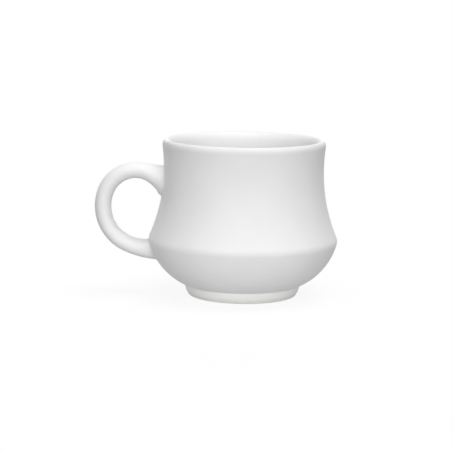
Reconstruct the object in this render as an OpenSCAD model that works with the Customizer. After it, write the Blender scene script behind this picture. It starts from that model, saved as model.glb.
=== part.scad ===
// Cappuccino cup: a waisted, keeled stoneware cup on a foot ring, with one loop handle.
// Millimetres. +Z is up, the origin is the centre of the foot ring's bearing plane, the handle points to -X.

/* [Cup] */
// Outside diameter of the rim
rim_d = 76; // [75.6:0.1:84]
// Height from the table to the crest of the lip
cup_h = 73.2; // [68:0.1:90]
// Outside diameter of the waist, the narrowest place of the neck
waist_d = 74.7; // [66:0.1:75]
// Depth of the waist under the crest of the lip
waist_drop = 14; // [9:0.1:22]
// Outside diameter of the keel, the widest place of the belly
keel_d = 88.4; // [84:0.2:98]
// Height of the keel
keel_z = 26; // [22:0.5:32]
// Radius of the keel's rounding
keel_round = 5; // [4.5:0.1:8]
// Radius of the bowl's curve between the keel and the foot
bowl_round = 29.6; // [26:0.1:36]

/* [Wall] */
// Thickness of the wall, glaze included
wall_t = 4; // [3:0.1:4.4]
// Thickness of the floor, glaze included
floor_t = 4; // [3.2:0.1:5]
// Thickness of each glaze coat
glaze_t = 0.3; // [0.15:0.05:0.5]

/* [Foot] */
// Diameter of the foot where it leaves the bowl
foot_top_d = 54.6; // [52:0.2:58]
// Height of the foot
foot_h = 5.2; // [4.6:0.1:6.4]
// Diameter of the foot at the table, before its edge is rounded
foot_d = 51.2; // [48:0.2:53]
// Width of the foot ring, from the recess to the foot's side at the table
ring_w = 4.6; // [3.8:0.1:6]
// Height of the recess above the table
recess_h = 3; // [2:0.1:4]
// Radius of the recess's upper corner
recess_round = 1.6; // [1:0.1:1.7]
// Radius of the foot ring's two bottom edges
foot_round = 1.2; // [0.6:0.1:1.3]
// Height at which the glaze stops above the table
glaze_stop = 1.5; // [1.4:0.1:2]

/* [Handle] */
// Distance from the cup's axis to the handle's far edge
handle_reach = 69.6; // [66:0.2:76]
// Depth of the handle's top edge under the crest of the lip
handle_drop = 11.2; // [8:0.1:14]
// Thickness of the handle, seen from the side
handle_t = 7.7; // [6:0.1:9]
// Width of the handle, across the fingers
handle_w = 10.4; // [8:0.2:13]
// Inner radius of the upper bend
upper_bend = 11.3; // [9:0.1:12.5]
// Inner radius of the lower bend
lower_bend = 15.7; // [13:0.1:17]
// Angle above the reach's line, seen from the bend's centre, at which the two bends meet
bend_meet = 26; // [10:1:40]

/* [Joints] */
// Depth of the upper joint's top edge under the handle's top edge
upper_joint_drop = 1.6; // [0.5:0.1:4]
// Height of the upper joint along the wall
upper_joint_h = 16; // [12:0.2:18]
// Width of the upper joint
upper_joint_w = 13; // [10.6:0.2:16]
// Depth of the lower joint's bottom edge under the keel
lower_joint_drop = 10.1; // [8.5:0.1:12.5]
// Height of the lower joint along the wall
lower_joint_h = 9.6; // [8:0.1:12]
// Width of the lower joint
lower_joint_w = 12; // [10.6:0.2:15]
// Thickness of the slip bed between the handle and the wall
slip_t = 1; // [0.6:0.1:1.6]

/* [Hidden] */

// Colours of bare white stoneware, of its slip and of the glaze
clay_colour = [0.93, 0.91, 0.86];
slip_colour = [0.90, 0.88, 0.83];
glaze_colour = [0.96, 0.96, 0.95];

// Facets of the turned shapes, points along each arc of the profile, sides and steps of the handle
$fn = 96;
arc_steps = 10;
handle_sides = 20;
end_steps = 9;
loop_steps = 22;

// The lip is a half circle over the wall's end
lip_r = wall_t / 2;

// Heights of the waist, the handle's top and the joints' outer edges
waist_z = cup_h - waist_drop;
handle_top_z = cup_h - handle_drop;
upper_joint_top = handle_top_z - upper_joint_drop;
lower_joint_base = keel_z - lower_joint_drop;

// Upper neck arc: from the waist to the lip; its radius is negative where the rim is the narrower
rim_rise = cup_h - lip_r - waist_z;
rim_flare = (rim_d - waist_d) / 2;
rim_arc_r = (rim_rise ^ 2 + rim_flare ^ 2) / (2 * rim_flare) - lip_r;
rim_arc_c = [waist_d / 2 + rim_arc_r, waist_z];
rim_angle = asin(rim_rise / (rim_arc_r + lip_r));
lip_c = rim_arc_c + (rim_arc_r + lip_r) * [-cos(rim_angle), sin(rim_angle)];

// Lower neck arc: from the waist to the keel's rounding, which it meets tangentially; its radius is
// negative where the keel is the narrower
keel_c = [keel_d / 2 - keel_round, keel_z];
neck_in = waist_d / 2 - keel_c.x;
neck_drop = waist_z - keel_z;
neck_arc_r = (neck_in ^ 2 + neck_drop ^ 2 - keel_round ^ 2) / (2 * (keel_round - neck_in));
neck_arc_c = [waist_d / 2 + neck_arc_r, waist_z];
neck_way = (neck_arc_c - keel_c) / (neck_arc_r + keel_round);
neck_angle = atan2(neck_way.y, neck_way.x);

// Bowl arc: tangent to the keel's rounding, and through the foot's top corner; it never passes the neck
foot_corner = [foot_top_d / 2, foot_h];
bowl_c = circles_meet(keel_c, bowl_round - keel_round, foot_corner, bowl_round);
bowl_angle = min(neck_angle, atan2(keel_c.y - bowl_c.y, keel_c.x - bowl_c.x));

// Foot: its leaning side, the recess within it, the way up along the side and the way out of it
foot_base = [foot_d / 2, 0];
recess_d = foot_d - 2 * ring_w;
foot_up = unit(foot_corner - foot_base);
foot_out = [foot_up.y, -foot_up.x];

// Floor inside: the bowl's lowest place, or higher where the floor over the recess would be too thin
floor_z = max(bowl_c.y - (bowl_round - wall_t), recess_h + floor_t);

// Heights at which the profile changes from one arc to the next
keel_top_z = keel_z + keel_round * sin(neck_angle);
keel_low_z = keel_z + keel_round * sin(bowl_angle);

// Centres of the handle's two bends, seen from the front: x, z
lower_bend_x = lower_bend + handle_t - handle_reach;
upper_bend_z = handle_top_z - handle_t - upper_bend;
bend_step = (lower_bend - upper_bend) * [cos(bend_meet), -sin(bend_meet)];
lower_bend_c = [lower_bend_x, upper_bend_z + bend_step.y];
upper_bend_c = [lower_bend_x - bend_step.x, upper_bend_z];

// Angles round the bends where the loop starts, changes bend and ends
loop_start = 90;
loop_change = 180 - bend_meet;
loop_end = 248;

// The handle runs this far under the wall's surface before the wall cuts it off
end_sink = 1.5;

// Share of an end's length that its edge runs on along the tangent at either end
end_pull = 0.34;

// Steepness of the upper end's underside where it meets the wall
underside_angle = 55;

function unit(v) = v / norm(v);

// Points along an arc, or the one point of an arc that has no length
function arc_points(centre, radius, from, to) = [
    for (i = [0:from == to ? 0 : arc_steps])
        let (a = from + (to - from) * i / arc_steps)
        centre + radius * [cos(a), sin(a)]
];

function backwards(list) = [for (i = [len(list) - 1:-1:0]) list[i]];

// The meeting point, nearer the axis, of two circles
function circles_meet(c1, r1, c2, r2) =
    let (
        gap = norm(c2 - c1),
        along = (r1 ^ 2 - r2 ^ 2 + gap ^ 2) / (2 * gap),
        aside = sqrt(r1 ^ 2 - along ^ 2),
        way = unit(c2 - c1),
        side = [-way.y, way.x],
        p = c1 + along * way + aside * side,
        q = c1 + along * way - aside * side
    )
    p.x < q.x ? p : q;

// Point of the foot's side at a depth under the finished surface, where it meets the bowl
function foot_meets_bowl(depth) =
    let (
        from = foot_base - depth * foot_out - bowl_c,
        ahead = from * foot_up,
        t = -ahead - sqrt(ahead ^ 2 - from * from + (bowl_round - depth) ^ 2)
    )
    bowl_c + from + t * foot_up;

// Point of the foot's side at a depth under the finished surface, at a height
function foot_side(depth, z) =
    let (base = foot_base - depth * foot_out)
    base + foot_up * (z - base.y) / foot_up.y;

// Neck and keel at a depth under the finished outside, from the keel up to the lip
function neck_points(depth) = concat(
    arc_points(keel_c, keel_round - depth, bowl_angle, neck_angle),
    arc_points(neck_arc_c, neck_arc_r + depth, 180 + neck_angle, 180),
    arc_points(rim_arc_c, rim_arc_r + depth, 180, 180 - rim_angle)
);

// The whole outside above the foot, at a depth under the finished surface
function outside_points(depth) =
    let (
        start = foot_meets_bowl(depth),
        from = atan2(start.y - bowl_c.y, start.x - bowl_c.x)
    )
    concat(arc_points(bowl_c, bowl_round - depth, from, bowl_angle), neck_points(depth));

// The whole inside, from the axis on the floor up to the lip, at a depth under the outside
function inside_points(depth) =
    let (
        r = bowl_round - depth,
        z = floor_z + depth - wall_t,
        floor_angle = -asin(min(1, (bowl_c.y - z) / r))
    )
    concat([[0, z]], arc_points(bowl_c, r, floor_angle, bowl_angle), neck_points(depth));

function lip_points(radius, from, to) = arc_points(lip_c, radius, from, to);

// Recess under the foot, from the axis out and down to a height; growth is how far it lies inside the clay
function recess_points(growth, stop_z) =
    let (
        r = recess_d / 2 + growth,
        z = recess_h + growth,
        corner = recess_round + growth,
        corner_c = [r - corner, z - corner],
        below = stop_z < corner_c.y,
        corner_end = below ? 0 : asin((stop_z - corner_c.y) / corner)
    )
    concat([[0, z]], arc_points(corner_c, corner, 90, corner_end), below ? [[r, stop_z]] : []);

// Foot ring in bare clay: inner edge, bearing plane and outer edge
function foot_ring_points() =
    let (
        inner_r = recess_d / 2 + glaze_t,
        lean = atan2(foot_out.y, foot_out.x),
        outer_c = foot_side(glaze_t + foot_round, foot_round)
    )
    concat(
        arc_points([inner_r + foot_round, foot_round], foot_round, 180, 270),
        arc_points(outer_c, foot_round, -90, lean)
    );

// Radius, seen from the axis, of an arc at a height; the arc is hollow where its own radius is negative
function arc_x(centre, radius, z) =
    centre.x + sign(radius) * sqrt(radius ^ 2 - (z - centre.y) ^ 2);

// Radius of the finished outside at a height
function wall_r(z) =
    z >= waist_z ? arc_x(rim_arc_c, -rim_arc_r, z) :
    z >= keel_top_z ? arc_x(neck_arc_c, -neck_arc_r, z) :
    z >= keel_low_z ? arc_x(keel_c, keel_round, z) :
    arc_x(bowl_c, bowl_round, z);

// Place under the wall's surface, on the handle's side, where an edge of the handle ends
function sunk(z) = [end_sink - wall_r(z), z];

// Smooth edge from one place to another, leaving and arriving along the ways given
function edge(from, from_way, to, to_way, t) =
    let (
        pull = end_pull * norm(to - from),
        p1 = from + pull * from_way,
        p2 = to - pull * to_way,
        s = 1 - t
    )
    s ^ 3 * from + 3 * s ^ 2 * t * p1 + 3 * s * t ^ 2 * p2 + t ^ 3 * to;

function bend_point(a, out) = a <= loop_change
    ? upper_bend_c + (upper_bend + out) * [cos(a), sin(a)]
    : lower_bend_c + (lower_bend + out) * [cos(a), sin(a)];

function ease(t) = t * t * (3 - 2 * t);

// A section of the handle: its outer edge, its inner edge and its width
function upper_section(t) =
    let (loop_way = [-1, 0])
    [
        edge(sunk(upper_joint_top), [-1, 0], bend_point(loop_start, handle_t), loop_way, t),
        edge(
            sunk(upper_joint_top - upper_joint_h), [-cos(underside_angle), sin(underside_angle)],
            bend_point(loop_start, 0), loop_way, t
        ),
        upper_joint_w + (handle_w - upper_joint_w) * ease(t)
    ];

function loop_section(t) =
    let (a = loop_start + (loop_end - loop_start) * t)
    [bend_point(a, handle_t), bend_point(a, 0), handle_w];

function lower_section(t) =
    let (loop_way = [-sin(loop_end), cos(loop_end)])
    [
        edge(bend_point(loop_end, handle_t), loop_way, sunk(lower_joint_base), [1, 0], t),
        edge(bend_point(loop_end, 0), loop_way, sunk(lower_joint_base + lower_joint_h), [1, 0], t),
        handle_w + (lower_joint_w - handle_w) * ease(t)
    ];

upper_sections = [for (i = [0:end_steps]) upper_section(i / end_steps)];
loop_sections = [for (i = [0:loop_steps]) loop_section(i / loop_steps)];
lower_sections = [for (i = [0:end_steps]) lower_section(i / end_steps)];
handle_sections = concat(
    [for (i = [0:end_steps - 1]) upper_sections[i]],
    loop_sections,
    [for (i = [1:end_steps]) lower_sections[i]]
);

// Oval ring of points round a section, at a depth under its finished surface
function ring(section, depth) =
    let (
        middle = (section[0] + section[1]) / 2,
        half = (section[0] - section[1]) / 2,
        reach = half - depth * unit(half),
        half_w = section[2] / 2 - depth
    )
    [
        for (j = [0:handle_sides - 1])
            let (
                a = 360 * j / handle_sides,
                p = middle + reach * cos(a)
            )
            [p.x, half_w * sin(a), p.y]
    ];

// Two triangles between neighbouring rings; first is the number of the surface's first point
function skin_faces(rings, first, flip) = [
    for (i = [0:rings - 2], j = [0:handle_sides - 1])
        let (
            a = first + i * handle_sides + j,
            b = first + i * handle_sides + (j + 1) % handle_sides,
            c = a + handle_sides,
            d = b + handle_sides
        )
        each flip ? [[a, b, d], [a, d, c]] : [[a, d, b], [a, c, d]]
];

// Two triangles between the outer and inner ring at one end of a sleeve
function end_faces(outer, inner, flip) = [
    for (j = [0:handle_sides - 1])
        let (
            k = (j + 1) % handle_sides,
            a = outer + j,
            b = outer + k,
            c = inner + j,
            d = inner + k
        )
        each flip ? [[a, d, b], [a, c, d]] : [[a, b, d], [a, d, c]]
];

// Solid swept through sections, at a depth under the handle's finished surface
module sweep(sections, depth) {
    rings = len(sections);
    points = [for (s = sections) each ring(s, depth)];
    start_cap = [for (j = [0:handle_sides - 1]) j];
    end_cap = [for (j = [handle_sides - 1:-1:0]) (rings - 1) * handle_sides + j];
    polyhedron(points, concat(skin_faces(rings, 0, false), [start_cap], [end_cap]));
}

// Sleeve swept through sections, from the finished surface down to a depth
module sleeve(sections, depth) {
    rings = len(sections);
    inner = rings * handle_sides;
    last = (rings - 1) * handle_sides;
    points = concat(
        [for (s = sections) each ring(s, 0)],
        [for (s = sections) each ring(s, depth)]
    );
    polyhedron(points, concat(
        skin_faces(rings, 0, false),
        skin_faces(rings, inner, true),
        end_faces(0, inner, false),
        end_faces(last, inner + last, true)
    ));
}

// Everything within the outside, at a depth under the finished surface
module filled_cup(depth) {
    line = outside_points(depth);
    rotate_extrude()
        polygon(concat([[0, line[0].y]], line, [[0, line[len(line) - 1].y]]));
}

// Wall with its floor and foot ring, from the outside's glaze to the liner's glaze
module cup_body() {
    color(clay_colour)
        rotate_extrude()
            polygon(concat(
                recess_points(glaze_t, foot_round),
                foot_ring_points(),
                outside_points(glaze_t),
                lip_points(lip_r - glaze_t, -rim_angle, 90),
                lip_points(lip_r - glaze_t, 90, 180 - rim_angle),
                backwards(inside_points(wall_t - glaze_t))
            ));
}

// Loop of the handle between its two slip beds
module handle_core() {
    color(clay_colour)
        difference() {
            sweep(handle_sections, glaze_t);
            filled_cup(glaze_t - slip_t);
        }
}

// Slip bed between one end of the handle and the wall
module luting_joint(sections) {
    color(slip_colour)
        intersection() {
            sweep(sections, glaze_t);
            difference() {
                filled_cup(glaze_t - slip_t);
                filled_cup(glaze_t);
            }
        }
}

module upper_luting_joint() {
    luting_joint(upper_sections);
}

module lower_luting_joint() {
    luting_joint(lower_sections);
}

// Coat outside, from the lip's crest to its stop on the foot, open where the handle passes
module outer_glaze() {
    color(glaze_colour)
        difference() {
            rotate_extrude()
                polygon(concat(
                    [foot_side(0, glaze_stop)],
                    outside_points(0),
                    lip_points(lip_r, -rim_angle, 90),
                    lip_points(lip_r - glaze_t, 90, -rim_angle),
                    backwards(outside_points(glaze_t)),
                    [foot_side(glaze_t, glaze_stop)]
                ));
            sweep(handle_sections, 0);
        }
}

// Coat inside, from the lip's crest to the middle of the floor
module liner_glaze() {
    color(glaze_colour)
        rotate_extrude()
            polygon(concat(
                inside_points(wall_t - glaze_t),
                lip_points(lip_r - glaze_t, 180 - rim_angle, 90),
                lip_points(lip_r, 90, 180 - rim_angle),
                backwards(inside_points(wall_t))
            ));
}

// Coat in the recess under the foot
module base_glaze() {
    color(glaze_colour)
        rotate_extrude()
            polygon(concat(
                recess_points(0, glaze_stop),
                backwards(recess_points(glaze_t, glaze_stop))
            ));
}

// Coat round the handle and its two slip beds, down to the wall's clay
module handle_glaze() {
    color(glaze_colour)
        difference() {
            sleeve(handle_sections, glaze_t);
            filled_cup(glaze_t);
        }
}

cup_body();
handle_core();
upper_luting_joint();
lower_luting_joint();
outer_glaze();
liner_glaze();
base_glaze();
handle_glaze();
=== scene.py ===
import math

import bmesh
import bpy
import numpy as np
from mathutils import Matrix, Vector


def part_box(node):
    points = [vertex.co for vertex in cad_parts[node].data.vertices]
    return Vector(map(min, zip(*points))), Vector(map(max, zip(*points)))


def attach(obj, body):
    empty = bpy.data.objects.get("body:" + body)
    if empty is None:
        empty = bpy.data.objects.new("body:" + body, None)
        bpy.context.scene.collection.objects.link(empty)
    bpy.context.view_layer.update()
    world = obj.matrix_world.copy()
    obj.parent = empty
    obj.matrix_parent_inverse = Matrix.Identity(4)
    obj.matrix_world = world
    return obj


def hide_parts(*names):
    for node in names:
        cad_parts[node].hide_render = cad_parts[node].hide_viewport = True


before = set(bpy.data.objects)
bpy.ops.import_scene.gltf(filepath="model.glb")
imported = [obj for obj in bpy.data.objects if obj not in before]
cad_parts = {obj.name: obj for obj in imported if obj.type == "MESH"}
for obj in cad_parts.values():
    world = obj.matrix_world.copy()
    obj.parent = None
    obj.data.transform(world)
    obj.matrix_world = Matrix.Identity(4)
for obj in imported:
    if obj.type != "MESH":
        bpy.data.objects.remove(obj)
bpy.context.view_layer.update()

# Sizes are in millimetres, as the cup is measured, and become metres when a mesh is made
MM = 0.001


def node_box(node):
    low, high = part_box(node)
    return np.array(low) / MM, np.array(high) / MM


outer_low, outer_high = node_box("outer_glaze")
liner_low, _ = node_box("liner_glaze")
_, base_high = node_box("base_glaze")
handle_low, handle_high = node_box("handle_glaze")

# Cup, from the frame where a node's box shows the size
CUP_H = outer_high[2]
RIM_R = 38.0
WAIST_R = 37.35
WAIST_DROP = 14.0
WAIST_Z = CUP_H - WAIST_DROP
KEEL_R = outer_high[0]
KEEL_Z = 26.0
KEEL_ROUND = 5.0
BOWL_ROUND = 29.6
WALL_T = 4.0
GLAZE_T = 0.3
FLOOR_Z = liner_low[2] + GLAZE_T
# Height of the lip's half oval
LIP_H = 3.2
LIP_Z = CUP_H - LIP_H

# Foot
FOOT_TOP_R = 27.3
FOOT_H = 5.2
FOOT_R = 25.6
FOOT_ROUND = 1.2
RING_W = 4.6
RECESS_R = FOOT_R - RING_W
RECESS_H = base_high[2] - GLAZE_T
RECESS_ROUND = 1.6
GLAZE_STOP = outer_low[2]
# The glaze thins over this height to a rounded edge, which has this share of its thickness left, and pools
# this far to either side of the foot's corner
GLAZE_EDGE = 0.5
GLAZE_EDGE_LEFT = 0.1
CORNER_POOL = 0.3

# Handle: thickness and width of its oval, and its two bends, which meet at this angle over the horizontal
HANDLE_REACH = -handle_low[0]
HANDLE_TOP = handle_high[2]
HANDLE_T = 7.7
HANDLE_W = 10.4
UPPER_BEND = 11.3
LOWER_BEND = 15.7
BEND_MEET = 26.0
# Angles round the bends where the loop leaves its upper end, changes bend and reaches its lower end
LOOP_START = 90.0
LOOP_CHANGE = 180.0 - BEND_MEET
LOOP_END = 248.0
# Joints on the wall
UPPER_JOINT_DROP = 1.6
UPPER_JOINT_TOP = HANDLE_TOP - UPPER_JOINT_DROP
UPPER_JOINT_H = 16.0
UPPER_JOINT_W = 13.0
LOWER_JOINT_DROP = 10.1
LOWER_JOINT_BASE = KEEL_Z - LOWER_JOINT_DROP
LOWER_JOINT_H = 9.6
LOWER_JOINT_W = 12.0
# How far the handle's ends run on into the wall, the share of its length over which an end keeps its
# direction, and the angle over the horizontal at which the underside leaves the upper joint
END_SINK = 1.5
END_PULL = 0.34
UNDERSIDE_ANGLE = 55.0
# Length of each fillet along the handle, at the handle's edges and on its two sides, the share of it that
# lies on the wall, and how far its foot sinks into the wall
UPPER_FILLET = (0.8, 6.5)
LOWER_FILLET = (1.4, 3.8)
FILLET_ON_WALL = 0.5
FILLET_SINK = 0.02
# Under the upper end the handle stops in a blunt toe: how far its edge stands off the wall, how high it lies
# over the place where the skins meet, how far along the handle it starts, and how tightly its edge is rounded
TOE_OFF = 1.4
TOE_RISE = 0.7
TOE_LENGTH = 4.0
TOE_EDGE = 3.0
# The toe fades out at this share of the way to the handle's sides
TOE_SIDE = 0.4

# Facets of the meshes
SEGMENTS = 192
BOWL_ROWS = 28
KEEL_ROWS = 16
NECK_ROWS = 34
RIM_ROWS = 14
LIP_ROWS = 24
# Rows crowd towards the lip's crest by this power
LIP_CROWDING = 1.3
FOOT_ROWS = 5
EDGE_ROWS = 6
CORNER_ROWS = 8
RECESS_ROWS = 10
FLOOR_ROWS = 12
HANDLE_SIDES = 56
FILLET_RINGS = 12
END_RINGS = 16
LOOP_RINGS = 60
SHARP_EDGE = math.radians(35)
BISECTIONS = 40
# Steps over which slopes are measured: in millimetres up the wall, and in u and radians on the handle
WALL_STEP = 0.01
HANDLE_STEP = 0.002


# Outline of the cup

def unit(v):
    return v / np.linalg.norm(v)


def polar(angle):
    return np.array([math.cos(math.radians(angle)), math.sin(math.radians(angle))])


def direction(v):
    return math.degrees(math.atan2(v[1], v[0]))


def arc(centre, radius, start, end, rows):
    return [centre + radius * polar(a) for a in np.linspace(start, end, rows + 1)]


def joined(*lines):
    """One line from several that share their ends."""
    points = list(lines[0])
    for line in lines[1:]:
        points += list(line[1:])
    return points


def circles_meet(c1, r1, c2, r2):
    """The meeting point, nearer the axis, of two circles."""
    gap = np.linalg.norm(c2 - c1)
    along = (r1 ** 2 - r2 ** 2 + gap ** 2) / (2 * gap)
    aside = math.sqrt(r1 ** 2 - along ** 2)
    way = unit(c2 - c1)
    side = np.array([-way[1], way[0]])
    middle = c1 + along * way
    return min(middle + aside * side, middle - aside * side, key=lambda p: p[0])


rim_rise = LIP_Z - WAIST_Z
rim_flare = RIM_R - WAIST_R
rim_arc_r = (rim_rise ** 2 + rim_flare ** 2) / (2 * rim_flare)
rim_arc_c = np.array([WAIST_R + rim_arc_r, WAIST_Z])

keel_c = np.array([KEEL_R - KEEL_ROUND, KEEL_Z])
neck_in = WAIST_R - keel_c[0]
neck_drop = WAIST_Z - KEEL_Z
neck_arc_r = (neck_in ** 2 + neck_drop ** 2 - KEEL_ROUND ** 2) / (2 * (KEEL_ROUND - neck_in))
neck_arc_c = np.array([WAIST_R + neck_arc_r, WAIST_Z])
neck_angle = direction(neck_arc_c - keel_c)

foot_corner = np.array([FOOT_TOP_R, FOOT_H])
foot_base = np.array([FOOT_R, 0.0])
foot_up = unit(foot_corner - foot_base)
foot_out = np.array([foot_up[1], -foot_up[0]])
bowl_c = circles_meet(keel_c, BOWL_ROUND - KEEL_ROUND, foot_corner, BOWL_ROUND)
bowl_angle = direction(keel_c - bowl_c)

keel_top_z = KEEL_Z + KEEL_ROUND * polar(neck_angle)[1]
keel_low_z = KEEL_Z + KEEL_ROUND * polar(bowl_angle)[1]


def foot_side(depth, z):
    base = foot_base - depth * foot_out
    return base + foot_up * (z - base[1]) / foot_up[1]


def foot_meets_bowl(depth):
    start = foot_base - depth * foot_out - bowl_c
    ahead = start @ foot_up
    t = -ahead - math.sqrt(ahead ** 2 - start @ start + (BOWL_ROUND - depth) ** 2)
    return bowl_c + start + t * foot_up


def rim_r(depth, z):
    """Radius of the rim's wall at a depth under the finished outside."""
    return rim_arc_c[0] - math.sqrt((rim_arc_r + depth) ** 2 - (z - WAIST_Z) ** 2)


def neck_line(depth):
    """Keel, neck and rim at a depth under the finished outside, up to where the lip's rounding starts."""
    rim_angle = math.degrees(math.asin(rim_rise / (rim_arc_r + depth)))
    return joined(
        arc(keel_c, KEEL_ROUND - depth, bowl_angle, neck_angle, KEEL_ROWS),
        arc(neck_arc_c, neck_arc_r + depth, 180 + neck_angle, 180, NECK_ROWS),
        arc(rim_arc_c, rim_arc_r + depth, 180, 180 - rim_angle, RIM_ROWS),
    )


def lip_line(depth):
    """One side of the lip, a half oval, from the wall up to its crest over the middle of the wall.

    The depth under the outside says which side it is.
    """
    rise = LIP_H - min(depth, WALL_T - depth)
    line = []
    for t in 1 - (1 - np.linspace(0, 1, LIP_ROWS + 1)) ** LIP_CROWDING:
        across, up = polar(90 * t)
        z = LIP_Z + rise * up
        middle = (rim_r(0, z) + rim_r(WALL_T, z)) / 2
        line.append(np.array([middle + (rim_r(depth, z) - middle) * across, z]))
    return line


def bowl_line(depth):
    """Foot's corner, with the glaze pooled in it, and bowl up to the keel."""
    corner = foot_meets_bowl(depth)
    r = BOWL_ROUND - depth
    start = direction(corner - bowl_c) + math.degrees(CORNER_POOL / r)
    low = corner - CORNER_POOL * foot_up
    high = bowl_c + r * polar(start)
    pool = [
        (1 - t) ** 2 * low + 2 * t * (1 - t) * corner + t ** 2 * high
        for t in np.linspace(0, 1, CORNER_ROWS + 1)
    ]
    return joined(pool, arc(bowl_c, r, start, bowl_angle, BOWL_ROWS))


def foot_line(depth, edge_depth):
    """Foot's side from the glaze's edge up to the pooled corner; the edge may lie deeper than the rest."""
    top = foot_meets_bowl(depth) - CORNER_POOL * foot_up
    edge = []
    for t in np.linspace(0, 1, EDGE_ROWS + 1):
        thin = 1 - math.sqrt(1 - (1 - t) ** 2)
        edge.append(foot_side(depth + (edge_depth - depth) * thin, GLAZE_STOP + GLAZE_EDGE * t))
    side = [edge[-1] + (top - edge[-1]) * t for t in np.linspace(0, 1, FOOT_ROWS + 1)]
    return joined(edge, side)


def outside_line(depth, edge_depth):
    return joined(
        foot_line(depth, edge_depth),
        bowl_line(depth),
        neck_line(depth),
        lip_line(depth),
    )


def inside_line(depth):
    """Inside from the middle of the floor up to the lip's crest, at a depth under the outside."""
    r = BOWL_ROUND - depth
    floor_z = FLOOR_Z + depth - WALL_T
    start = -math.degrees(math.asin((bowl_c[1] - floor_z) / r))
    corner = bowl_c + r * polar(start)
    floor = [np.array([x, floor_z]) for x in np.linspace(0, corner[0], FLOOR_ROWS + 1)]
    return joined(
        floor,
        arc(bowl_c, r, start, bowl_angle, BOWL_ROWS),
        neck_line(depth),
        lip_line(depth),
    )


def recess_line(growth, stop_z):
    """Recess from its middle out and down to a height; growth is how far it lies inside the clay."""
    corner = RECESS_ROUND + growth
    corner_c = np.array([RECESS_R + growth - corner, RECESS_H + growth - corner])
    stop = math.degrees(math.asin(max(0, (stop_z - corner_c[1]) / corner)))
    top = [np.array([x, RECESS_H + growth]) for x in np.linspace(0, corner_c[0], FLOOR_ROWS + 1)]
    return joined(top, arc(corner_c, corner, 90, stop, RECESS_ROWS))


def clay_line():
    """Clay from the recess's middle, round the bare foot ring and the wall, to the floor's middle."""
    inner_r = RECESS_R + GLAZE_T
    lean = direction(foot_out)
    outer_c = foot_side(GLAZE_T + FOOT_ROUND, FOOT_ROUND)
    inside = inside_line(WALL_T - GLAZE_T)
    ring = (
        arc(np.array([inner_r + FOOT_ROUND, FOOT_ROUND]), FOOT_ROUND, 180, 270, RECESS_ROWS)
        + arc(outer_c, FOOT_ROUND, -90, lean, RECESS_ROWS)
    )
    wall = joined(outside_line(GLAZE_T, GLAZE_T), inside[::-1])
    return recess_line(GLAZE_T, FOOT_ROUND) + ring + wall


def wall_r(z):
    """Radius of the finished outside at a height."""
    if z >= WAIST_Z:
        return rim_r(0.0, z)
    if z >= keel_top_z:
        return neck_arc_c[0] - math.sqrt(neck_arc_r ** 2 - (z - WAIST_Z) ** 2)
    if z >= keel_low_z:
        return keel_c[0] + math.sqrt(KEEL_ROUND ** 2 - (z - KEEL_Z) ** 2)
    return bowl_c[0] + math.sqrt(BOWL_ROUND ** 2 - (z - bowl_c[1]) ** 2)


# Surface of the handle: u runs 0 to 1 along its upper end, to 2 round the loop and to 3 along its lower end

lower_bend_x = LOWER_BEND + HANDLE_T - HANDLE_REACH
upper_bend_z = HANDLE_TOP - HANDLE_T - UPPER_BEND
bend_step = (LOWER_BEND - UPPER_BEND) * polar(-BEND_MEET)
lower_bend_c = np.array([lower_bend_x, upper_bend_z + bend_step[1]])
upper_bend_c = np.array([lower_bend_x - bend_step[0], upper_bend_z])


def bend_point(angle, out):
    if angle <= LOOP_CHANGE:
        return upper_bend_c + (UPPER_BEND + out) * polar(angle)
    return lower_bend_c + (LOWER_BEND + out) * polar(angle)


def sunk(z):
    """Where an edge of the handle ends inside the wall, at a height."""
    return np.array([END_SINK - wall_r(z), z])


def edge_point(start, start_way, end, end_way, t):
    """Smooth edge from one place to another, leaving and arriving along the ways given."""
    pull = END_PULL * np.linalg.norm(end - start)
    p1 = start + pull * start_way
    p2 = end - pull * end_way
    s = 1 - t
    return s ** 3 * start + 3 * s ** 2 * t * p1 + 3 * s * t ** 2 * p2 + t ** 3 * end


def ease(t):
    return t * t * (3 - 2 * t)


def section(u):
    """Outer edge, inner edge and width of the handle."""
    left = np.array([-1.0, 0.0])
    if u < 1:
        outer = edge_point(sunk(UPPER_JOINT_TOP), left, bend_point(LOOP_START, HANDLE_T), left, u)
        inner = edge_point(
            sunk(UPPER_JOINT_TOP - UPPER_JOINT_H), polar(180 - UNDERSIDE_ANGLE),
            bend_point(LOOP_START, 0), left, u,
        )
        return outer, inner, UPPER_JOINT_W + (HANDLE_W - UPPER_JOINT_W) * ease(u)
    if u <= 2:
        angle = LOOP_START + (LOOP_END - LOOP_START) * (u - 1)
        return bend_point(angle, HANDLE_T), bend_point(angle, 0), HANDLE_W
    way = polar(LOOP_END + 90)
    t = u - 2
    outer = edge_point(bend_point(LOOP_END, HANDLE_T), way, sunk(LOWER_JOINT_BASE), -left, t)
    inner = edge_point(
        bend_point(LOOP_END, 0), way, sunk(LOWER_JOINT_BASE + LOWER_JOINT_H), -left, t,
    )
    return outer, inner, HANDLE_W + (LOWER_JOINT_W - HANDLE_W) * ease(t)


def handle_point(u, around, depth=0.0):
    outer, inner, width = section(u)
    half = (outer - inner) / 2
    place = (outer + inner) / 2 + (half - depth * unit(half)) * math.cos(around)
    return np.array([place[0], (width / 2 - depth) * math.sin(around), place[1]])


def wall_gap(point):
    """How far a point lies outside the finished wall."""
    return math.hypot(point[0], point[1]) - wall_r(point[2])


def wall_normal(point):
    rise = wall_r(point[2] + WALL_STEP) - wall_r(point[2] - WALL_STEP)
    slope = rise / (2 * WALL_STEP)
    out = unit(np.array([point[0], point[1], 0.0]))
    return unit(out - np.array([0.0, 0.0, slope]))


def onto_wall(point, depth):
    r = wall_r(point[2]) - depth
    return np.array([*(r * unit(point[:2])), point[2]])


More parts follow.
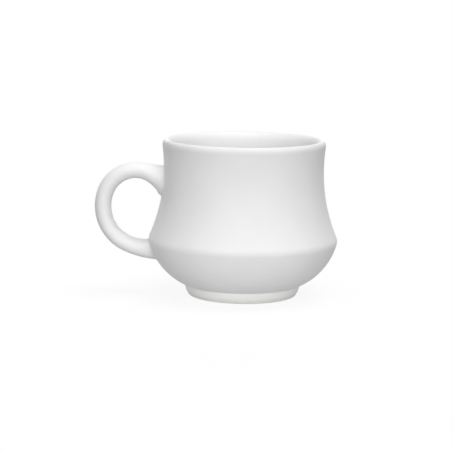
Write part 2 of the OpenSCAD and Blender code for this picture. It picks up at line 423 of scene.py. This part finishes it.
def bisect(low, high, is_high):
    """The place between two others where a test turns true."""
    for _ in range(BISECTIONS):
        middle = (low + high) / 2
        if is_high(middle):
            high = middle
        else:
            low = middle
    return (low + high) / 2


def handle_normal(u, around):
    along = handle_point(u + HANDLE_STEP, around) - handle_point(u - HANDLE_STEP, around)
    across = handle_point(u, around + HANDLE_STEP) - handle_point(u, around - HANDLE_STEP)
    normal = unit(np.cross(along, across))
    outer, inner, _ = section(u)
    middle = (outer + inner) / 2
    out = handle_point(u, around) - np.array([middle[0], 0.0, middle[1]])
    return normal if normal @ out > 0 else -normal


def handle_end(around, root, free, fillet, has_toe):
    """Where one side of the handle meets the wall.

    Gives the points of its fillet, from the wall up, the place along the handle where the fillet starts, the
    place where the lining meets the clay, and the point where the skins meet.
    """
    meet = bisect(root, free, lambda u: wall_gap(handle_point(u, around)) > 0)
    touch = handle_point(meet, around)
    edge_size, side_size = fillet
    size = edge_size + (side_size - edge_size) * math.sin(around) ** 2
    toe = ease(min(1, max(0, -math.cos(around) - TOE_SIDE) / (1 - TOE_SIDE))) if has_toe else 0.0
    length = size + (TOE_LENGTH - size) * toe
    start = bisect(
        meet, free, lambda u: np.linalg.norm(handle_point(u, around) - touch) > length,
    )
    normal = wall_normal(touch)
    out = handle_normal(meet, around)
    spread = unit(out - (out @ normal) * normal)
    foot = onto_wall(touch + (1 - toe) * FILLET_ON_WALL * size * spread, FILLET_SINK)
    corner = touch + toe * (TOE_OFF * normal + np.array([0.0, 0.0, TOE_RISE]))
    top = handle_point(start, around)
    weight = 1 + (TOE_EDGE - 1) * toe
    points = []
    for t in np.linspace(0, 1, FILLET_RINGS + 1):
        shares = np.array([(1 - t) ** 2, 2 * t * (1 - t) * weight, t ** 2])
        points.append((shares / shares.sum()) @ np.array([foot, corner, top]))
    bed = bisect(
        root, free, lambda u: wall_gap(handle_point(u, around, GLAZE_T)) > -GLAZE_T,
    )
    return points, start, bed, touch


def handle_side(around):
    """One side of the handle's coat: its skin, its lining, and the points where it meets the wall."""
    upper, upper_start, upper_bed, upper_touch = handle_end(around, 0.0, 1.0, UPPER_FILLET, True)
    lower, lower_start, lower_bed, lower_touch = handle_end(around, 3.0, 2.0, LOWER_FILLET, False)
    free = joined(
        np.linspace(upper_start, 1, END_RINGS + 1),
        np.linspace(1, 2, LOOP_RINGS + 1),
        np.linspace(2, lower_start, END_RINGS + 1),
    )
    covered = joined(
        np.linspace(upper_bed, upper_start, FILLET_RINGS + 1),
        free,
        np.linspace(lower_start, lower_bed, FILLET_RINGS + 1),
    )
    skin = joined(upper, [handle_point(u, around) for u in free], lower[::-1])
    lining = [handle_point(u, around, GLAZE_T) for u in covered]
    return skin, lining, upper_touch, lower_touch


# Meshes

def turned(line):
    """Rows of points round the axis, one row for each point of an outline."""
    around = np.linspace(0, 2 * math.pi, SEGMENTS, endpoint=False)
    line = np.array(line)
    r = line[:, 0, None]
    z = np.repeat(line[:, 1, None], SEGMENTS, axis=1)
    return np.stack([r * np.cos(around), r * np.sin(around), z], axis=2)


def in_outline(outline, y, z):
    """Whether a place, seen along X, lies within a closed outline."""
    inside = False
    for (y1, z1), (y2, z2) in zip(outline, np.roll(outline, -1, axis=0)):
        if (z1 > z) != (z2 > z) and y < y1 + (y2 - y1) * (z - z1) / (z2 - z1):
            inside = not inside
    return inside


def open_cells(skin, outlines):
    """The cells of a skin that lie wholly within an outline on the handle's side."""
    rows, count, _ = skin.shape
    within = np.zeros((rows, count), bool)
    for outline in outlines:
        low, high = outline.min(axis=0), outline.max(axis=0)
        for k, j in np.ndindex(rows, count):
            x, y, z = skin[k, j]
            if x < 0 and low[0] < y < high[0] and low[1] < z < high[1]:
                within[k, j] |= in_outline(outline, y, z)
    beside = within & np.roll(within, -1, axis=1)
    return beside[:-1] & beside[1:]


def skin_mesh(name, skin, lining=None, opened=None):
    """Mesh of a skin, as rows of points round a ring, backed by a lining where the piece is a coat."""
    rows, count, _ = skin.shape
    points = []
    numbers = []
    for layer in [skin] if lining is None else [skin, lining]:
        layer_numbers = []
        for row in layer:
            is_pole = np.ptp(row, axis=0).max() == 0
            first = len(points)
            points += [row[0]] if is_pole else list(row)
            layer_numbers.append([first] * count if is_pole else list(range(first, first + count)))
        numbers.append(layer_numbers)
    kept = np.ones((rows - 1, count), bool) if opened is None else ~opened
    faces = []

    def add(*corners):
        face = [c for i, c in enumerate(corners) if c != corners[i - 1]]
        if len(face) > 2:
            faces.append(face)

    def add_side(a, b):
        add(*[numbers[0][k][j] for k, j in (a, b)], *[numbers[1][k][j] for k, j in (b, a)])

    for k, j in np.argwhere(kept):
        after = (j + 1) % count
        for layer in numbers:
            add(layer[k][j], layer[k][after], layer[k + 1][after], layer[k + 1][j])
        if lining is None:
            continue
        if k == 0 or not kept[k - 1, j]:
            add_side((k, j), (k, after))
        if k == rows - 2 or not kept[k + 1, j]:
            add_side((k + 1, j), (k + 1, after))
        if not kept[k, j - 1]:
            add_side((k, j), (k + 1, j))
        if not kept[k, after]:
            add_side((k, after), (k + 1, after))

    mesh = bpy.data.meshes.new(name)
    mesh.from_pydata([tuple(p * MM) for p in points], [], faces)
    tidy_mesh(mesh)
    piece = bpy.data.objects.new(name, mesh)
    bpy.context.scene.collection.objects.link(piece)
    return piece


def tidy_mesh(mesh):
    """Faces turned outwards and shaded smooth, with a break at each sharp edge."""
    bm = bmesh.new()
    bm.from_mesh(mesh)
    loose = [v for v in bm.verts if not v.link_faces]
    bmesh.ops.delete(bm, geom=loose, context="VERTS")
    bmesh.ops.recalc_face_normals(bm, faces=bm.faces)
    for face in bm.faces:
        face.smooth = True
    for edge in bm.edges:
        edge.smooth = edge.calc_face_angle(0) < SHARP_EDGE
    bm.to_mesh(mesh)
    bm.free()


# Materials

def add_range(tree, value, from_range, to_range, interpolation="LINEAR"):
    """A value, mapped from one range to another."""
    node = tree.nodes.new("ShaderNodeMapRange")
    node.interpolation_type = interpolation
    names = ("From Min", "From Max", "To Min", "To Max")
    for name, number in zip(names, (*from_range, *to_range)):
        node.inputs[name].default_value = number
    tree.links.new(value, node.inputs["Value"])
    return node.outputs["Result"]


class Shader:
    """A material's nodes, with short ways to add and link them."""

    def __init__(self, name):
        self.material = bpy.data.materials.new(name)
        self.material.use_nodes = True
        self.tree = self.material.node_tree
        self.surface = self.tree.nodes["Principled BSDF"]
        self.place = self.add("ShaderNodeTexCoord").outputs["Object"]

    def add(self, kind, **settings):
        node = self.tree.nodes.new(kind)
        for name, value in settings.items():
            setattr(node, name, value)
        return node

    def link(self, output, socket):
        self.tree.links.new(output, socket)

    def stretched(self, scale):
        """Object coordinates, scaled apart along X, Y and Z."""
        mapping = self.add("ShaderNodeMapping")
        mapping.inputs["Scale"].default_value = scale
        self.link(self.place, mapping.inputs["Vector"])
        return mapping.outputs["Vector"]

    def noise(self, vector, scale, detail=2.0, roughness=0.5):
        node = self.add("ShaderNodeTexNoise")
        node.inputs["Scale"].default_value = scale
        node.inputs["Detail"].default_value = detail
        node.inputs["Roughness"].default_value = roughness
        self.link(vector, node.inputs["Vector"])
        return node.outputs["Fac"]

    def ranged(self, value, from_range, to_range):
        return add_range(self.tree, value, from_range, to_range)

    def mixed(self, factor, first, second):
        """Mix of two colours, each a colour or the output of another node."""
        node = self.add("ShaderNodeMix", data_type="RGBA")
        self.link(factor, node.inputs[0])
        for socket, colour in ((node.inputs[6], first), (node.inputs[7], second)):
            if isinstance(colour, tuple):
                socket.default_value = (*colour, 1.0)
            else:
                self.link(colour, socket)
        return node.outputs[2]

    def bump(self, height, strength, distance, normal=None):
        node = self.add("ShaderNodeBump")
        node.inputs["Strength"].default_value = strength
        node.inputs["Distance"].default_value = distance
        self.link(height, node.inputs["Height"])
        if normal is not None:
            self.link(normal, node.inputs["Normal"])
        return node.outputs["Normal"]

    def finish(self, colour, roughness, normal):
        self.link(colour, self.surface.inputs["Base Color"])
        self.link(roughness, self.surface.inputs["Roughness"])
        self.link(normal, self.surface.inputs["Normal"])
        return self.material


GLAZE_WHITE = (0.895, 0.895, 0.892)
GLAZE_THICK = (0.875, 0.876, 0.876)
GLAZE_SPECULAR = 0.3
GLAZE_ROUGHNESS = (0.52, 0.62)
# How much of the clay shows through the glaze at its edge on the foot, and from the foot's top upwards
GLAZE_THIN = (0.6, 0.0)
CLAY_PALE = (0.80, 0.79, 0.765)
CLAY_DARK = (0.72, 0.705, 0.675)
SLIP_PALE = (0.79, 0.775, 0.75)
SLIP_DARK = (0.73, 0.715, 0.685)
CLAY_ROUGHNESS = (0.80, 0.95)
# Scales of the patterns, to the metre, and the height of the bumps and the size of the grains, in metres
CLOUDS = 55.0
SHEEN = 180.0
DIMPLES = 420.0
TOOL_LINES = (14.0, 14.0, 900.0)
MOTTLE = 240.0
SPECKS = 1500.0
GLAZE_BUMP_H = 0.0002
STONEWARE_GRAIN = 0.0004
SLIP_GRAIN = 0.0008
# Strength of the bumps
GLAZE_BUMP = 0.10
CLAY_BUMP = 0.35
# Spans of a pattern's values that are spread over a full range, and how strong the specks are
CLOUD_SPAN = (0.35, 0.65)
WIDE_SPAN = (0.3, 0.7)
SPECK_SPAN = (0.62, 0.70)
SPECK_STRENGTH = (0.0, 0.6)


def glaze_material(name, is_turned):
    """White satin glaze: faintly clouded and finely uneven, with tool lines on turned walls."""
    s = Shader(name)
    cloud = s.ranged(s.noise(s.place, CLOUDS, detail=3.0), CLOUD_SPAN, (0.0, 1.0))
    colour = s.mixed(cloud, GLAZE_WHITE, GLAZE_THICK)
    height = s.add("ShaderNodeSeparateXYZ")
    s.link(s.place, height.inputs["Vector"])
    thin = s.ranged(height.outputs["Z"], (GLAZE_STOP * MM, FOOT_H * MM), GLAZE_THIN)
    colour = s.mixed(thin, colour, CLAY_PALE)
    roughness = s.ranged(s.noise(s.place, SHEEN), WIDE_SPAN, GLAZE_ROUGHNESS)
    s.surface.inputs["Specular IOR Level"].default_value = GLAZE_SPECULAR
    normal = s.bump(s.noise(s.place, DIMPLES, detail=1.0), GLAZE_BUMP, GLAZE_BUMP_H)
    if is_turned:
        lines = s.noise(s.stretched(TOOL_LINES), 1.0, detail=2.0, roughness=0.6)
        normal = s.bump(lines, GLAZE_BUMP, GLAZE_BUMP_H, normal)
    return s.finish(colour, roughness, normal)


def clay_material(name, pale, dark, grain):
    """Bare fired clay: mottled, dry, and as grainy as the size of its grain says."""
    s = Shader(name)
    mottle = s.noise(s.place, MOTTLE, detail=4.0)
    specks = s.ranged(s.noise(s.place, SPECKS, detail=1.0), SPECK_SPAN, SPECK_STRENGTH)
    colour = s.mixed(specks, s.mixed(mottle, pale, dark), dark)
    roughness = s.ranged(mottle, WIDE_SPAN, CLAY_ROUGHNESS)
    grains = s.noise(s.place, 1 / grain, detail=3.0, roughness=0.7)
    normal = s.bump(grains, CLAY_BUMP, grain / 2)
    return s.finish(colour, roughness, normal)


# Pieces

def place_piece(piece, material, node):
    piece.data.materials.append(material)
    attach(piece, "root")
    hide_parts(node)


def make_cup():
    sides = [handle_side(2 * math.pi * j / HANDLE_SIDES) for j in range(HANDLE_SIDES)]
    handle_skin, handle_lining = (
        np.array([side[layer] for side in sides]).transpose(1, 0, 2) for layer in (0, 1)
    )
    joints = [np.array([side[end][1:] for side in sides]) for end in (2, 3)]

    turned_glaze = glaze_material("turned_glaze", True)
    cast_glaze = glaze_material("cast_glaze", False)
    stoneware = clay_material("bare_stoneware", CLAY_PALE, CLAY_DARK, STONEWARE_GRAIN)
    slip = clay_material("luting_slip", SLIP_PALE, SLIP_DARK, SLIP_GRAIN)

    clay = skin_mesh("stoneware_body", turned(clay_line()))
    place_piece(clay, stoneware, "cup_body")

    outer_edge = GLAZE_T * (1 - GLAZE_EDGE_LEFT)
    outer_skin = turned(outside_line(0.0, outer_edge))
    outer_lining = turned(outside_line(GLAZE_T, GLAZE_T))
    outer = skin_mesh("outer_glaze_coat", outer_skin, outer_lining, open_cells(outer_skin, joints))
    place_piece(outer, turned_glaze, "outer_glaze")

    liner = skin_mesh(
        "liner_glaze_coat", turned(inside_line(WALL_T)), turned(inside_line(WALL_T - GLAZE_T)),
    )
    place_piece(liner, turned_glaze, "liner_glaze")

    base = skin_mesh(
        "base_glaze_coat",
        turned(recess_line(0.0, GLAZE_STOP)), turned(recess_line(GLAZE_T, GLAZE_STOP)),
    )
    place_piece(base, turned_glaze, "base_glaze")

    handle = skin_mesh("handle_glaze_coat", handle_skin, handle_lining)
    place_piece(handle, cast_glaze, "handle_glaze")

    for node, material in (
        ("handle_core", stoneware), ("upper_luting_joint", slip), ("lower_luting_joint", slip),
    ):
        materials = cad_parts[node].data.materials
        materials.clear()
        materials.append(material)


# Stage

FLOOR_HALF = 8.0
# The floor as it is seen: its grey, which takes the cup's shadow, and a glow that makes the rest white
FLOOR_SHOWN = 0.17
FLOOR_GLOW = 0.85
# The floor as it lights the cup, as a lit table does: its light near the cup and far from it, and the
# distances over which the one fades to the other
TABLE_LIGHT = (0.35, 0.0)
TABLE_REACH = (0.06, 0.16)
WORLD_LIGHT = 0.30
# Level, elevation, azimuth from the camera's side to the right, and spread of each lamp
LAMPS = {
    "front_right": (0.53, 4.0, 18.0, 36.0),
    "front_left": (0.465, 4.0, -17.0, 36.0),
    "right": (0.29, 70.0, 90.0, 40.0),
    "left": (0.09, 62.0, -90.0, 40.0),
    "overhead": (0.07, 86.0, 0.0, 40.0),
    "back": (0.40, 8.0, 180.0, 50.0),
}
CAMERA_PLACE = (0.0, -0.8097, 0.1595)
CAMERA_YAW = -0.009843
CAMERA_PITCH = -0.155974
CAMERA_ROLL = 0.013482
CAMERA_LENS = 139.13
CAMERA_FAR = 50.0


def seen_rays(tree):
    """1 for rays that show the surroundings, directly, in gloss or through glass, and 0 for lighting rays."""
    path = tree.nodes.new("ShaderNodeLightPath")
    total = path.outputs["Is Camera Ray"]
    for name in ("Is Glossy Ray", "Is Transmission Ray"):
        either = tree.nodes.new("ShaderNodeMath")
        either.operation = "MAXIMUM"
        tree.links.new(total, either.inputs[0])
        tree.links.new(path.outputs[name], either.inputs[1])
        total = either.outputs[0]
    return total


def mix_shaders(tree, factor, first, second):
    node = tree.nodes.new("ShaderNodeMixShader")
    tree.links.new(factor, node.inputs[0])
    tree.links.new(first.outputs[0], node.inputs[1])
    tree.links.new(second.outputs[0], node.inputs[2])
    return node


def floor_material():
    """Pale floor with the cup's shadow on it, which lights the cup and is clear from underneath."""
    material = bpy.data.materials.new("pale_floor")
    material.use_nodes = True
    tree = material.node_tree
    tree.nodes.clear()
    place = tree.nodes.new("ShaderNodeNewGeometry")

    distance = tree.nodes.new("ShaderNodeVectorMath")
    distance.operation = "LENGTH"
    tree.links.new(place.outputs["Position"], distance.inputs[0])
    light = add_range(tree, distance.outputs["Value"], TABLE_REACH, TABLE_LIGHT, "SMOOTHSTEP")
    table = tree.nodes.new("ShaderNodeEmission")
    tree.links.new(light, table.inputs["Strength"])

    surface = tree.nodes.new("ShaderNodeBsdfDiffuse")
    surface.inputs["Color"].default_value = (FLOOR_SHOWN, FLOOR_SHOWN, FLOOR_SHOWN, 1.0)
    glow = tree.nodes.new("ShaderNodeEmission")
    glow.inputs["Strength"].default_value = FLOOR_GLOW
    pale = tree.nodes.new("ShaderNodeAddShader")
    tree.links.new(surface.outputs[0], pale.inputs[0])
    tree.links.new(glow.outputs[0], pale.inputs[1])

    shown = mix_shaders(tree, seen_rays(tree), table, pale)
    clear = tree.nodes.new("ShaderNodeBsdfTransparent")
    sided = mix_shaders(tree, place.outputs["Backfacing"], shown, clear)
    output = tree.nodes.new("ShaderNodeOutputMaterial")
    tree.links.new(sided.outputs[0], output.inputs["Surface"])
    return material


def make_floor():
    mesh = bpy.data.meshes.new("floor")
    corners = [(-1, -1), (1, -1), (1, 1), (-1, 1)]
    mesh.from_pydata([(x * FLOOR_HALF, y * FLOOR_HALF, 0.0) for x, y in corners], [], [(0, 1, 2, 3)])
    mesh.materials.append(floor_material())
    floor = bpy.data.objects.new("floor", mesh)
    bpy.context.scene.collection.objects.link(floor)


def make_lights():
    world = bpy.data.worlds.new("studio")
    bpy.context.scene.world = world
    world.use_nodes = True
    tree = world.node_tree
    background = tree.nodes["Background"]
    background.inputs["Color"].default_value = (1.0, 1.0, 1.0, 1.0)
    strength = add_range(tree, seen_rays(tree), (0.0, 1.0), (WORLD_LIGHT, 1.0))
    tree.links.new(strength, background.inputs["Strength"])

    for name, (level, elevation, azimuth, spread) in LAMPS.items():
        data = bpy.data.lights.new(name, "SUN")
        data.energy = level * math.pi
        data.angle = math.radians(spread)
        lamp = bpy.data.objects.new(name, data)
        lamp.rotation_euler = (math.radians(90 - elevation), 0.0, math.radians(azimuth))
        bpy.context.scene.collection.objects.link(lamp)


def make_camera():
    data = bpy.data.cameras.new("camera")
    data.lens = CAMERA_LENS
    data.clip_end = CAMERA_FAR
    camera = bpy.data.objects.new("camera", data)
    forward = Vector((
        math.sin(CAMERA_YAW) * math.cos(CAMERA_PITCH),
        math.cos(CAMERA_YAW) * math.cos(CAMERA_PITCH),
        math.sin(CAMERA_PITCH),
    ))
    level = Vector((math.cos(CAMERA_YAW), -math.sin(CAMERA_YAW), 0.0))
    upright = level.cross(forward)
    right = math.cos(CAMERA_ROLL) * level + math.sin(CAMERA_ROLL) * upright
    up = right.cross(forward)
    pose = Matrix((right, up, -forward)).transposed().to_4x4()
    pose.translation = CAMERA_PLACE
    camera.matrix_world = pose
    bpy.context.scene.collection.objects.link(camera)
    bpy.context.scene.camera = camera


make_camera()
make_cup()
make_floor()
make_lights()
bpy.context.scene.view_settings.view_transform = "Standard"
